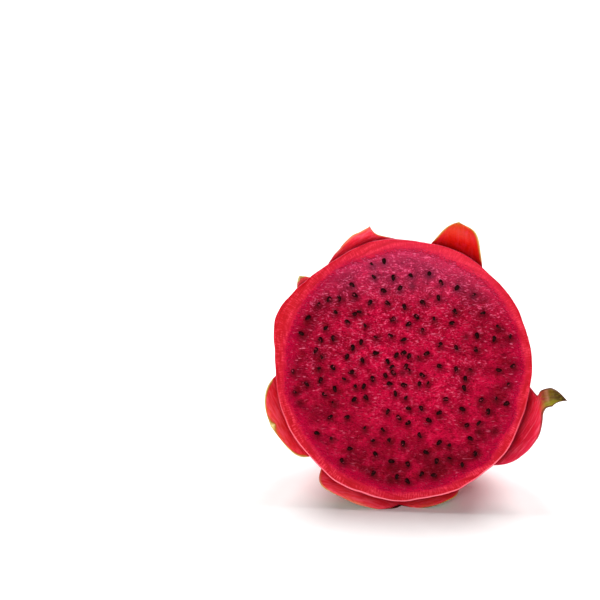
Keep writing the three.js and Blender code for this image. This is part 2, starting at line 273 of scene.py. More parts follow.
def swelling_under(bract, depth, angle):
    """How far a bract's base lifts the skin: a bell across it and a long bell down towards the stem."""
    root_depth, root_angle = bract["root"]
    reach = np.where(depth > root_depth, SWELL_STEMWARD, SWELL_FACEWARD)
    along = (depth - root_depth) / reach
    arc = np.radians(turn(root_angle, angle)) * plain_radius(depth)
    across = arc / (SWELL_BREADTH * bract["half_width"])
    return bract["swelling"] * np.exp(-(along ** 2) - across ** 2)


def skin_radius(depth, angle):
    """Radius of the skin: the blunt half ellipse, swollen under each bract, with a low random relief
    that dies out at the pole."""
    plain = plain_radius(depth)
    swelling = sum(swelling_under(bract, depth, angle) for bract in [*BRACTS.values(), CUT_BRACT])
    at = place(depth, plain, angle)
    return plain * oval(angle) + (swelling + relief(at, SKIN_RELIEF)) * plain / FACE_RADIUS


def hollow_radius(depth, angle):
    """Radius of the hollow that the flesh fills."""
    share = np.clip(depth / HOLLOW_DEPTH, 0, 1)
    return HOLLOW_RADIUS * oval(angle) * np.sqrt(1 - share ** FULLNESS)


def closed_rings(name, rings, first, last, marks, finishes, bands=None):
    """A mesh of closed shells. A shell is rows of rings of points, joined ring to ring by four-sided
    faces and closed at each end by a fan of triangles on a point of its own. The faces are turned so
    that the shells hold a positive volume. marks are values kept on the points, and bands gives the
    finish of each row of faces."""
    shells, rows, columns, _ = rings.shape
    size = rows * columns + 2
    points = np.concatenate([rings.reshape(shells, -1, 3), first[:, None], last[:, None]], axis=1)
    row, column = np.meshgrid(np.arange(rows - 1), np.arange(columns), indexing="ij")
    here, beside = row * columns + column, row * columns + (column + 1) % columns
    quads = np.stack([here, beside, beside + columns, here + columns], -1).reshape(-1, 4)
    around = np.arange(columns)
    following = (around + 1) % columns
    final = (rows - 1) * columns
    fans = np.concatenate([
        np.stack([np.full(columns, size - 2), following, around], -1),
        np.stack([np.full(columns, size - 1), final + around, final + following], -1),
    ])
    a, b, c, d = (points[0][quads[:, corner]] for corner in range(4))
    volume = (np.cross(b, c) * a).sum() + (np.cross(c, d) * a).sum()
    if volume < 0:
        quads, fans = quads[:, ::-1], fans[:, ::-1]
    offsets = size * np.arange(shells)[:, None, None]
    faces = (quads + offsets).reshape(-1, 4).tolist() + (fans + offsets).reshape(-1, 3).tolist()
    mesh = bpy.data.meshes.new(name)
    mesh.from_pydata(in_room(points).reshape(-1, 3).tolist(), [], faces)
    mesh.shade_smooth()
    for finish in finishes:
        mesh.materials.append(finish)
    if bands is not None:
        on_quads = np.repeat(bands, columns)
        on_fans = np.repeat([bands[0], bands[-1]], columns)
        indices = np.concatenate([np.tile(on_quads, shells), np.tile(on_fans, shells)])
        mesh.polygons.foreach_set("material_index", indices.astype(np.int32))
    for mark, values in {**marks, "fruit_place": rings}.items():
        vector = np.ndim(values) == 4
        full = np.broadcast_to(values, (shells, rows, columns, 3) if vector else (shells, rows, columns))
        flat = full.reshape(shells, rows * columns, -1)
        ends = [full[:, end].mean(axis=1).reshape(shells, 1, -1) for end in (0, -1)]
        layer = mesh.attributes.new(mark, "FLOAT_VECTOR" if vector else "FLOAT", "POINT")
        layer.data.foreach_set("vector" if vector else "value", np.concatenate([flat, *ends], 1).ravel())
    piece = bpy.data.objects.new(name, mesh)
    bpy.context.scene.collection.objects.link(piece)
    return piece


def linear(colour):
    """A linear colour from an sRGB hex value."""
    encoded = np.array([int(colour[start:start + 2], 16) for start in (1, 3, 5)]) / 255
    decoded = np.where(encoded <= 0.04045, encoded / 12.92, ((encoded + 0.055) / 1.055) ** 2.4)
    return (*decoded.tolist(), 1.0)


def add(tree, kind, sockets=None, stops=None, **settings):
    """Adds a node: its settings, the stops of a ramp, and its sockets filled or linked by name or
    number. A node stands for the first output that it has in use, and a hex value for its colour."""
    node = tree.nodes.new(kind)
    for name, value in settings.items():
        setattr(node, name, value)
    if stops:
        elements = node.color_ramp.elements
        elements[0].position, elements[1].position = stops[0][0], stops[-1][0]
        for position, _ in stops[1:-1]:
            elements.new(position)
        for element, (_, colour) in zip(elements, stops):
            element.color = linear(colour)
    for name, value in (sockets or {}).items():
        if isinstance(value, bpy.types.Node):
            value = next(output for output in value.outputs if output.enabled)
        if isinstance(value, bpy.types.NodeSocket):
            tree.links.new(value, node.inputs[name])
        else:
            node.inputs[name].default_value = linear(value) if isinstance(value, str) else value
    return node


# Sockets of the Mix node when it mixes colours
SHARE, UNDER, OVER = 0, 6, 7
# Sockets that the rows in the materials fill. A noise's row is its place, 1 over its size in mm and
# its detail. A range's row is a value, where it starts and is full, and the share there and at the
# start, where those aren't 1 and 0.
NOISE = ("Vector", "Scale", "Detail")
RANGE = ("Value", "From Min", "From Max", "To Max", "To Min")


def new_material(name):
    """A material with an empty node tree."""
    material = bpy.data.materials.new(name)
    material.use_nodes = True
    material.node_tree.nodes.clear()
    return material, material.node_tree


def peel_skin_material():
    """Fresh pitaya peel, grown: a waxy, satin skin, pink over red with faint streaks along it. Outside,
    a bract greens at its tip. Its inner side is smoother and redder, with pale veins, orange patches
    where it is warm, and a deeper red near the skin, partly its own colour and partly painted shade in
    the crease. Its margin dries to a thin tan line, and a withered tip is brown and olive on both sides."""
    material, tree = new_material("fresh_pitaya_peel")
    at, grain = (add(tree, "ShaderNodeAttribute", attribute_name=mark).outputs["Vector"]
                 for mark in ("fruit_place", "grain_place"))
    tip, margin, inner, warmth, dryness, withered, crease, across = (
        add(tree, "ShaderNodeAttribute", attribute_name=mark).outputs["Fac"]
        for mark in ("tip_mm", "margin_mm", "inner", "warmth", "dryness", "withered", "crease_mm",
                     "across_mm"))
    noise = {name: add(tree, "ShaderNodeTexNoise", dict(zip(NOISE, row))) for name, row in dict(
        patches=(at, 1 / 16, 3.0), streaks=(grain, 1 / 0.9, 4.0), dimples=(at, 1 / 0.7, 2.0),
        mottle=(at, 1 / 4.5, 3.0), veins=(grain, 1 / 0.6, 3.0), flecks=(at, 1 / 1.1, 1.0),
    ).items()}
    part = {name: add(tree, "ShaderNodeMapRange", dict(zip(RANGE, row))) for name, row in dict(
        streaks=(noise["streaks"], 0.48, 0.75, 0.5), greening=(tip, 0.0, 10.0),
        from_tip=(tip, 0.0, 22.0), orange=(noise["mottle"], 0.4, 0.6, 0.7, 1.6),
        mottle=(noise["mottle"], 0.48, 0.66, 0.6), veins=(noise["veins"], 0.44, 0.68, 0.6),
        coolness=(warmth, 0.0, 1.0, 0.1, 1.0), drying=(tip, 0.0, 13.0),
        flecks=(noise["flecks"], 0.5, 0.66, 0.4), margin_reach=(withered, 0.0, 1.0, 0.7, 1.8),
        band=(margin, 0.0, 1.8), gloss=(noise["dimples"], 0.0, 1.0, 0.5, 0.34),
    ).items()}
    eased = {name: add(tree, "ShaderNodeMapRange", dict(zip(RANGE, row)),
                       interpolation_type="SMOOTHSTEP") for name, row in dict(
        # Among them the deeper red near the skin, partly painted shade in the crease
        near_tip=(tip, 8.0, 3.0), fold_shade=(crease, 3.0, 0.0, 0.45), green_side=(across, 0.0, -2.4, 0.75),
        end=(tip, 11.5, 7.5), at_margin=(margin, part["margin_reach"], 0.3), dry_reach=(tip, 16.0, 7.0),
    ).items()}
    ramp = {name: add(tree, "ShaderNodeValToRGB", {"Fac": value}, stops=stops)
            for name, (value, stops) in dict(
        skin=(noise["patches"], [(0.3, "#a60a28"), (0.5, "#ba1636"), (0.72, "#cc2c4e")]),
        green_tip=(part["greening"], [(0.0, "#7a6a2c"), (0.15, "#8f9c3c"), (0.4, "#b9a850"),
                                      (0.75, "#d47060"), (1.0, "#d44a60")]),
        red_inside=(part["from_tip"], [(0.0, "#f6465e"), (0.25, "#ee2a46"), (0.5, "#e6223e"),
                                       (1.0, "#d8264a")]),
        warm_inside=(part["from_tip"], [(0.0, "#d05a1c"), (0.1, "#ce2c10"), (0.25, "#ca140a"),
                                        (0.5, "#c40606"), (1.0, "#b4040e")]),
        withering=(part["drying"], [(0.0, "#3c1c0c"), (0.12, "#362006"), (0.3, "#4e3606"),
                                    (0.46, "#6a4c08"), (0.52, "#a0684a"), (0.6, "#8a3c2a"),
                                    (0.75, "#a44038"), (1.0, "#cc3048")]),
        margin=(part["band"], [(0.0, "#e0cc8c"), (0.25, "#c0a458"), (0.4, "#9a6a20"),
                               (0.55, "#c44a18"), (1.0, "#d82c18")]),
    ).items()}
    orange = add(tree, "ShaderNodeMath", {0: warmth, 1: part["orange"]}, operation="MULTIPLY",
                 use_clamp=True)
    paling, withered_end, dry_part = (
        add(tree, "ShaderNodeMath", {0: one, 1: other}, operation="MULTIPLY") for one, other in (
            (part["veins"], part["coolness"]), (withered, eased["end"]),
            (eased["at_margin"], eased["dry_reach"])))
    dry = add(tree, "ShaderNodeMath", {0: dry_part, 1: dryness}, operation="MULTIPLY")

    # Each side, the withering and the margin: a ramp with colours laid over it, each by its share
    colour = dict(ramp)
    for name, share, under, over in (
            ("outside", part["streaks"], "skin", "#dc5c7a"),
            ("outside", eased["near_tip"], "outside", ramp["green_tip"]),
            ("inside", orange, "red_inside", ramp["warm_inside"]),
            ("inside", part["mottle"], "inside", "#c60818"),
            ("inside", paling, "inside", "#fa6680"),
            # The deeper red near the skin, partly its own colour and partly painted shade in the crease
            ("inside", eased["fold_shade"], "inside", "#98000c"),
            ("withering", part["flecks"], "withering", "#7c6c14"),
            ("withering", eased["green_side"], "withering", "#86820c"),
            ("margin", withered, "margin", "#5a3018")):
        colour[name] = add(tree, "ShaderNodeMix", {SHARE: share, UNDER: colour[under], OVER: over},
                           data_type="RGBA")
    peel = colour["outside"]
    for share, over in ((inner, "inside"), (withered_end, "withering"), (dry, "margin")):
        peel = add(tree, "ShaderNodeMix", {SHARE: share, UNDER: peel, OVER: colour[over]},
                   data_type="RGBA")

    fine = add(tree, "ShaderNodeBump", {"Height": noise["dimples"], "Strength": 0.35,
                                        "Distance": 0.12 * MILLIMETRE})
    grained = add(tree, "ShaderNodeBump", {"Height": noise["streaks"], "Strength": 0.5,
                                           "Distance": 0.25 * MILLIMETRE, "Normal": fine})
    surface = add(tree, "ShaderNodeBsdfPrincipled", {
        "Base Color": peel, "Roughness": part["gloss"], "IOR": 1.42, "Specular IOR Level": 0.15,
        "Subsurface Weight": 0.12, "Subsurface Radius": (1.0, 0.25, 0.2), "Subsurface Scale": 0.0012,
        "Normal": grained})
    add(tree, "ShaderNodeOutputMaterial", {"Surface": surface})
    return material


def cut_face_material():
    """Red dragon fruit cut with a knife: wet, translucent pulp, crimson, with painted shade low down,
    darker towards the sides, made of short fibres with painted shade in the hollows between them and
    painted highlights and glints on top, in a smooth red rind. The pulp frays into the rind, which has
    faint streaks along it and finer ones across it and painted light on its upper part. Low down, the
    skin's cut edge is a thin pink painted highlight. Round the seeds lies painted shade, and on the
    upper pulp a painted sheen."""
    material, tree = new_material("cut_pitaya_flesh")
    at = add(tree, "ShaderNodeAttribute", attribute_name="fruit_place").outputs["Vector"]
    smooth_rind, edge, shade = (
        add(tree, "ShaderNodeAttribute", attribute_name=mark).outputs["Fac"]
        for mark in ("rind_mm", "edge_mm", "seed_shade"))

    swirl = add(tree, "ShaderNodeTexNoise", {"Vector": at, "Scale": 1 / 6, "Detail": 1.0})
    shifted = add(tree, "ShaderNodeVectorMath", {0: swirl.outputs["Color"], 1: (4.0, 4.0, 0.0)},
                  operation="MULTIPLY")
    bent = add(tree, "ShaderNodeVectorMath", {0: at, 1: shifted}, operation="ADD")
    laid = add(tree, "ShaderNodeMapping", {"Vector": bent, "Scale": (0.5, 1.0, 1.0)})
    wet = add(tree, "ShaderNodeMapping", {"Vector": at, "Scale": (0.5, 1.3, 1.0)})
    drawn = add(tree, "ShaderNodeVectorMath", {0: at, 1: (0.25, 0.25, 0.25)}, operation="MULTIPLY")
    beside = add(tree, "ShaderNodeCombineXYZ", {"X": edge})
    ringed = add(tree, "ShaderNodeVectorMath", {0: drawn, 1: beside}, operation="ADD")
    outward = add(tree, "ShaderNodeVectorMath", {0: at}, operation="NORMALIZE")
    spoked = add(tree, "ShaderNodeVectorMath", {0: outward, 1: (FACE_RADIUS,) * 3, 2: drawn},
                 operation="MULTIPLY_ADD")
    fibres = add(tree, "ShaderNodeTexNoise", {"Vector": laid, "Scale": 1 / 0.46, "Detail": 2.0,
                                              "Roughness": 0.6})
    # The drops noise places the painted glints
    noise = {name: add(tree, "ShaderNodeTexNoise", dict(zip(NOISE, row))) for name, row in dict(
        lumps=(at, 1 / 2.2, 2.0), clouds=(at, 1 / 9, 3.0), blots=(bent, 1 / 4.0, 2.0),
        patches=(at, 1 / 14, 2.0), drops=(wet, 1 / 0.9, 0.0), streaks=(ringed, 1 / 1.3, 3.0),
        spokes=(spoked, 1 / 0.5, 2.0),
    ).items()}

    texture = add(tree, "ShaderNodeMath", {0: noise["lumps"], 1: 0.4, 2: fibres},
                  operation="MULTIPLY_ADD")
    fray = add(tree, "ShaderNodeMath", {0: texture, 1: -3.5, 2: 2.45}, operation="MULTIPLY_ADD")
    rind = add(tree, "ShaderNodeMath", {0: smooth_rind, 1: fray}, operation="ADD")
    sides = add(tree, "ShaderNodeSeparateXYZ", {"Vector": at}).outputs
    off_middle = add(tree, "ShaderNodeMath", {0: sides["X"]}, operation="ABSOLUTE")
    # Where the painted highlights on the ridges and the painted glints are strong: up top, and near the
    # middle
    upper = add(tree, "ShaderNodeMath", {0: sides["Y"], 1: 0.009, 2: noise["patches"]},
                operation="MULTIPLY_ADD")
    highlight_place = add(tree, "ShaderNodeMath", {0: off_middle, 1: -0.007, 2: upper},
                 operation="MULTIPLY_ADD")
    crossed = add(tree, "ShaderNodeMath", {0: noise["streaks"], 1: noise["spokes"]}, operation="ADD")
    # Heights across the cut: the painted shade low down follows the first, the painted light on the
    # upper rim the second
    shade_height, upward = (
        add(tree, "ShaderNodeVectorMath", {0: at, 1: direction}, operation="DOT_PRODUCT")
        for direction in ((-0.1, 1.0, 0.0), (0.3, 1.0, 0.0)))
    part = {name: add(tree, "ShaderNodeMapRange", dict(zip(RANGE, row))) for name, row in dict(
        along=(rind, -42.0, 4.0), aside=(off_middle, 10.0, 40.0, 0.35),
        clouds=(noise["clouds"], 0.45, 0.68, 0.7), blots=(noise["blots"], 0.52, 0.74, 0.7),
        # Painted shade in the pits between the fibres, and how strong the painted highlights on the
        # ridges are
        pit_shade=(texture, 0.66, 0.5, 0.7), highlight_strength=(highlight_place, 0.25, 0.68, 1.0, 0.15),
        # Painted highlights on the ridges, and painted glints
        ridge_highlights=(texture, 0.75, 0.95), glints=(noise["drops"], 0.7, 0.84, 0.7),
        # How strong the painted glints are
        glint_strength=(upper, 0.2, 0.6, 1.0, 0.3), on_rind=(smooth_rind, -0.5, 1.0, 1.6),
        # The rind's streaks, and darker streaks
        streaks=(crossed, 0.98, 1.3, 0.35), dark_streaks=(noise["streaks"], 0.46, 0.32, 0.3),
        # Painted highlight on the skin's edge low down, and painted light on the upper rim
        lit_low_edge=(sides["Y"], -4.0, -34.0, 1.0), rim_top_light=(upward, 24.0, 46.0, 0.24),
        outer=(rind, -6.0, 0.0),
    ).items()}
    eased = {name: add(tree, "ShaderNodeMapRange", dict(zip(RANGE, row)),
                       interpolation_type="SMOOTHSTEP") for name, row in dict(
        low=(shade_height, -18.0, -42.0, 0.9), deep=(rind, -0.6, -4.4), pulp=(rind, 0.6, -1.6),
        # The painted highlight on the skin's edge, and the painted sheen on the upper pulp
        at_edge=(edge, 0.7, 0.3), sheen=(sides["Y"], 18.0, 42.0, 0.09),
    ).items()}
    # Painted shade low down, and darker towards the sides
    painted_low_shade = add(tree, "ShaderNodeMath", {0: eased["low"], 1: part["aside"]}, operation="MAXIMUM")
    raised, on_pulp, streaking, dark_streaking, painted_top_light, edge_highlight, paling, height = (
        add(tree, "ShaderNodeMath", {0: one, 1: other}, operation="MULTIPLY") for one, other in (
            (part["highlight_strength"], eased["pulp"]), (part["glint_strength"], eased["pulp"]),
            (part["on_rind"], part["streaks"]), (part["on_rind"], part["dark_streaks"]),
            # Shares of the painted light on the upper rim and of the painted highlight on the skin's
            # edge low down
            (part["outer"], part["rim_top_light"]), (eased["at_edge"], part["lit_low_edge"]),
            # Share of the painted sheen on the upper pulp, then the pulp's relief
            (eased["sheen"], eased["pulp"]), (texture, eased["pulp"])))
    # Shares of the painted highlights on the ridges and of the painted glints
    ridged, glinting = (
        add(tree, "ShaderNodeMath", {0: one, 1: other}, operation="MULTIPLY")
        for one, other in ((part["ridge_highlights"], raised), (part["glints"], on_pulp)))

    body = add(tree, "ShaderNodeValToRGB", {"Fac": part["along"]}, stops=[
        (0.0, "#ba0436"), (0.4, "#b00230"), (0.62, "#a0022a"), (0.76, "#900226"), (0.82, "#900226"),
        (0.877, "#ac0230"), (0.9, "#ba0436"), (0.92, "#bc0634"), (0.94, "#ba0828"),
        (0.965, "#b8081e"), (1.0, "#ba081a")])
    # In the pulp: painted shade low down, darker towards the sides, clouds, blots, and painted shade in
    # the pits between the fibres
    colour = body
    for share, over in ((painted_low_shade, "#60000c"), (part["clouds"], "#d0083e"),
                        (part["blots"], "#800012"), (part["pit_shade"], "#62000f")):
        colour = add(tree, "ShaderNodeMix", {SHARE: share, UNDER: colour, OVER: over},
                     data_type="RGBA")
    colour = add(tree, "ShaderNodeMix", {SHARE: eased["deep"], UNDER: body, OVER: colour},
                 data_type="RGBA")
    # Painted highlights on the fibres, painted glints and painted shade round the seeds, the rind's
    # streaks and darker streaks, then painted light on the upper rim, a painted highlight on the skin's
    # edge low down, and a painted sheen on the upper pulp
    for share, over in ((ridged, "#f05c86"), (glinting, "#ec6c8c"), (shade, "#4c020a"),
                        (streaking, "#f4405a"), (dark_streaking, "#96000e"), (painted_top_light, "#ff3c5c"),
                        (edge_highlight, "#f8788a"), (paling, "#ff78bc")):
        colour = add(tree, "ShaderNodeMix", {SHARE: share, UNDER: colour, OVER: over},
                     data_type="RGBA")

    relieved = add(tree, "ShaderNodeBump", {"Height": height, "Strength": 1.0,
                                            "Distance": 0.7 * MILLIMETRE})
    surface = add(tree, "ShaderNodeBsdfPrincipled", {
        "Base Color": colour, "Roughness": 0.3, "IOR": 1.36, "Specular IOR Level": 0.05,
        "Subsurface Weight": 0.1, "Subsurface Radius": (1.0, 0.2, 0.2), "Subsurface Scale": 0.001,
        "Normal": relieved})
    add(tree, "ShaderNodeOutputMaterial", {"Surface": surface})
    return material


def seed_coat_material():
    """Dragon fruit seed, grown: a hard black coat, wet, stained wine-red by the juice, with shreds of
    pale pulp that cling to it, which also serve as its painted highlights."""
    material, tree = new_material("seed_coat")
    at = add(tree, "ShaderNodeAttribute", attribute_name="fruit_place").outputs["Vector"]
    cast = add(tree, "ShaderNodeTexNoise", {"Vector": at, "Scale": 1 / 0.8, "Detail": 1.0})
    # The palest stops are the shreds of pulp, which also serve as painted highlights
    coat = add(tree, "ShaderNodeValToRGB", {"Fac": cast},
               stops=[(0.35, "#140304"), (0.6, "#2a0508"), (0.66, "#5a0818"), (0.78, "#a03850")])
    surface = add(tree, "ShaderNodeBsdfPrincipled", {
        "Base Color": coat, "Roughness": 0.2, "IOR": 1.5, "Specular IOR Level": 0.02})
    add(tree, "ShaderNodeOutputMaterial", {"Surface": surface})
    return material


def stem_material():
    """Cactus stem, snapped off and dried: fibrous, green-brown at the foot and grey-brown at the end."""
    material, tree = new_material("dry_cactus_stem")
    at = add(tree, "ShaderNodeAttribute", attribute_name="fruit_place").outputs["Vector"]
    drying = add(tree, "ShaderNodeAttribute", attribute_name="drying").outputs["Fac"]
    drawn = add(tree, "ShaderNodeMapping", {"Vector": at, "Scale": (1.0, 1.0, 0.25)})
    fibres = add(tree, "ShaderNodeTexNoise", {"Vector": drawn, "Scale": 1 / 0.8, "Detail": 4.0})
    body = add(tree, "ShaderNodeValToRGB", {"Fac": drying},
               stops=[(0.0, "#8c9440"), (0.45, "#8f7c42"), (1.0, "#b59a6d")])
    wear = add(tree, "ShaderNodeMapRange", dict(zip(RANGE, (fibres, 0.45, 0.7, 0.7))))
    worn = add(tree, "ShaderNodeMix", {SHARE: wear, UNDER: body, OVER: "#54401f"}, data_type="RGBA")
    ridged = add(tree, "ShaderNodeBump", {"Height": fibres, "Strength": 0.8,
                                          "Distance": 0.6 * MILLIMETRE})
    surface = add(tree, "ShaderNodeBsdfPrincipled", {
        "Base Color": worn, "Roughness": 0.75, "Normal": ridged})
    add(tree, "ShaderNodeOutputMaterial", {"Surface": surface})
    return material


def table_material():
    """Matt white board, rolled: so pale that its faint mottling hardly shows."""
    material, tree = new_material("white_board")
    at = add(tree, "ShaderNodeTexCoord").outputs["Object"]
    mottling = add(tree, "ShaderNodeTexNoise", {"Vector": at, "Scale": 1 / (8 * MILLIMETRE)})
    paint = add(tree, "ShaderNodeValToRGB", {"Fac": mottling},
                stops=[(0.3, "#f8f7f6"), (0.7, "#fbfaf9")])
    surface = add(tree, "ShaderNodeBsdfPrincipled", {
        "Base Color": paint, "Roughness": 0.9, "Specular IOR Level": 0.1})
    add(tree, "ShaderNodeOutputMaterial", {"Surface": surface})
    return material


peel_finish = peel_skin_material()
cut_finish = cut_face_material()
seed_finish = seed_coat_material()
stem_finish = stem_material()

FAR = 60.0  # a distance in millimetres that no pattern reaches


def grow(piece, node):
    """Ties a piece to the fruit and lets it stand for a CAD node."""
    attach(piece, "root")
    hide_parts(node)
    return piece


def rind_marks(points, angle):
    """How far a point of the cut lies outside the pulp, and how far inside the skin's edge. The pulp's
    outline wavers a little."""
    radius = np.hypot(points[..., 0], points[..., 1])
    outline = hollow_radius(0.0, angle) + relief(place(0.0, FACE_RADIUS, angle), OUTLINE_RELIEF)
    return dict(rind_mm=radius - outline, edge_mm=skin_radius(0.0, angle) - radius)


def peel_skin():
    """The peel: from the back of the hollow forward along its wall, outwards over the cut, round a
    quarter circle to the skin, and back along the blunt half ellipse to the pole."""
    angle = ring_angles(columns=420)
    wall_depth = HOLLOW_DEPTH * np.sin(np.radians(np.linspace(HOLLOW_END, 0, WALL_ROWS)))[:, None]
    wall = place(wall_depth, hollow_radius(wall_depth, angle), angle)
    edge_radius = skin_radius(KNIFE_EDGE, angle)
    share = np.linspace(0, 1, CUT_ROWS)[1:-1, None]
    cut = place(0.0, mix(hollow_radius(0.0, angle), edge_radius - KNIFE_EDGE, share), angle)
    cut[..., 2] += relief(cut, CUT_RELIEF)
    corner = np.radians(np.linspace(90, 0, CORNER_ROWS)[:-1, None])
    rounding = place(KNIFE_EDGE * (1 - np.sin(corner)), edge_radius - KNIFE_EDGE * (1 - np.cos(corner)),
                     angle)
    first = np.degrees(np.arcsin(KNIFE_EDGE / BODY_DEPTH))
    skin_depth = BODY_DEPTH * np.sin(np.radians(np.linspace(first, SKIN_END, SKIN_ROWS)))[:, None]
    skin = place(skin_depth, skin_radius(skin_depth, angle), angle)
    rings = np.concatenate([wall, cut, rounding, skin])[None]
    grain = place(STREAK_STRETCH * -rings[..., 2], FACE_RADIUS, angle)
    grain[..., 2] *= -1
    bands = np.zeros(rings.shape[1] - 1, int)
    bands[len(wall) - 1:len(wall) + len(cut) + len(rounding) // 2] = 1  # the cut and half its corner
    marks = dict(grain_place=grain, tip_mm=FAR, margin_mm=FAR, crease_mm=FAR, across_mm=0.0, inner=0.0,
                 warmth=0.0, dryness=0.0, withered=0.0, seed_shade=0.0, **rind_marks(rings, angle))
    return grow(closed_rings("peel_skin", rings, place(HOLLOW_DEPTH, 0.0, [0.0]),
                             place(BODY_DEPTH, 0.0, [0.0]), marks, [peel_finish, cut_finish], bands),
                "peel")


def midrib(bract, share):
    """Points and directions along the midrib of a bract: a cubic Bezier curve out of the skin along
    it, then towards the bend and to the tip."""
    root_depth, root_angle = bract["root"]
    sunk = 0.5 * bract["thickness"] + BURIED_DEPTH
    start_depth = root_depth + BURIED_LENGTH
    start = place(start_depth, skin_radius(start_depth, root_angle) - sunk, root_angle)
    leaving = place(root_depth, skin_radius(root_depth, root_angle) - sunk, root_angle)
    bend, tip = place(*bract["bend"]), place(*bract["tip"])
    lead = leaving - start
    lead *= LEAD_SHARE * np.linalg.norm(start - bend) / np.linalg.norm(lead)
    sink = place(0.0, ROOT_SINK, root_angle)
    poles = np.array([start - sink, start + lead, bend, tip])
    rest = 1 - share
    weights = np.stack([rest ** 3, 3 * rest ** 2 * share, 3 * rest * share ** 2, share ** 3], -1)
    slopes = np.stack([rest ** 2, 2 * rest * share, share ** 2], -1)
    forward = slopes @ np.diff(poles, axis=0)
    return weights @ poles, forward / np.linalg.norm(forward, axis=-1, keepdims=True)


def bract_blade(name, bract, draw):
    """A bract: a thin lens of a section carried along the midrib, nearly closed at its buried end, bowed
    round the fruit at the root and cupped at the tip, with a low ruffle that grows towards its margins.
    The outer side's streaks run along it, and the inner side's veins askew by its vein_turn."""
    share = np.sin(0.5 * np.pi * np.linspace(0, 1, BLADE_GRID))
    turned = 2 * np.pi * np.linspace(0, 1, BLADE_GRID, endpoint=False)[None, :]
    at, forward = midrib(bract, share)
    sideways = np.stack([-at[:, 1], at[:, 0], np.zeros(len(at))], -1)
    sideways -= (sideways * forward).sum(-1, keepdims=True) * forward
    sideways /= np.linalg.norm(sideways, axis=-1, keepdims=True)
    outward = np.cross(sideways, forward)
    v = share[:, None]
    blade = np.maximum(1 - (v / bract["broad"]) ** bract["blunt"], 0) ** bract["taper"]
    tail = np.clip((1 - v) / TAIL_SHARE, 0.02, 1) ** 0.8
    half_width = np.maximum(bract["half_width"] * blade, bract["tail"] * tail)
    across = np.cos(turned)
    bend = mix(1 / plain_radius(bract["root"][0]), 1 / bract["cup"], v)
    bow_radius = 1 / np.where(np.abs(bend) < 1e-4, 1e-4, bend)
    bow = (across * half_width + bract["skew"] * bract["half_width"] * blade * v) / bow_radius
    thickness = mix(bract["thickness"], TIP_THICKNESS, v ** 0.7)
    side = np.sin(turned)
    closing = mix(CLOSED_THICKNESS, 1.0, ease(0.0, CLOSED_SHARE, v))
    face = -0.5 * closing * thickness * np.sign(side) * np.abs(side) ** 0.75
    notch = bract["notch"] * v ** 8 * np.exp(-(across / NOTCH_BREADTH) ** 2)
    middle = at[:, None] + sideways[:, None] * (bow_radius * np.sin(bow))[..., None]
    ruffle = v * (RUFFLE * across ** 2 * waves(middle, RUFFLE_LENGTH, draw)
                  + DIMPLE * waves(middle, DIMPLE_LENGTH, draw + 50))
    wander = RIB_WANDER * waves(middle, WANDER_LENGTH, draw + 90)
    ruffle += RIB_HEIGHT * v * np.cos(2 * np.pi * (RIBS * across + wander))
    tuck = ROOT_TUCK * (1 - v) ** 3 * across ** 2
    rise = face + ruffle - tuck - bow_radius * (1 - np.cos(bow))
    rings = middle + outward[:, None] * rise[..., None] - forward[:, None] * notch[..., None]
    steps = np.linalg.norm(np.diff(at, axis=0), axis=-1)
    from_tip = np.append(np.cumsum(steps[::-1])[::-1], 0)[:, None]
    margin = np.minimum((1 - np.abs(across)) * half_width + 0 * from_tip, from_tip + 0.0 * across)
    inner = ease(0.0, 0.25, side)
    askew = np.radians(bract["vein_turn"]) * inner
    drawn = np.cos(askew) * from_tip + np.sin(askew) * across * half_width
    apart = np.cos(askew) * across * half_width - np.sin(askew) * from_tip
    grain = np.stack([apart, side + 0 * v, STREAK_STRETCH * drawn], -1)
    # How far off the skin the blade lies: near it the margin stays fresh, and the inner side takes the
    # deeper red, partly painted shade in the crease
    gap = np.hypot(rings[..., 0], rings[..., 1]) - skin_radius(
        np.maximum(-rings[..., 2], 0), np.degrees(np.arctan2(rings[..., 1], rings[..., 0])))
    margin = margin + FRESH_MARGIN * (1 - ease(*DRYING_GAP, gap))
    marks = dict(grain_place=grain[None], tip_mm=from_tip[None], margin_mm=margin[None],
                 crease_mm=(gap + bract["open"])[None],
                 across_mm=(across * half_width)[None], inner=inner[None],
                 warmth=bract["warmth"], dryness=bract["dryness"], withered=bract["withered"])
    ends, _ = midrib(bract, np.array([0.0, 1.0]))
    ends[1] -= forward[-1] * bract["notch"]
    return grow(closed_rings(name, rings[None], ends[:1], ends[1:], marks, [peel_finish]), "peel")


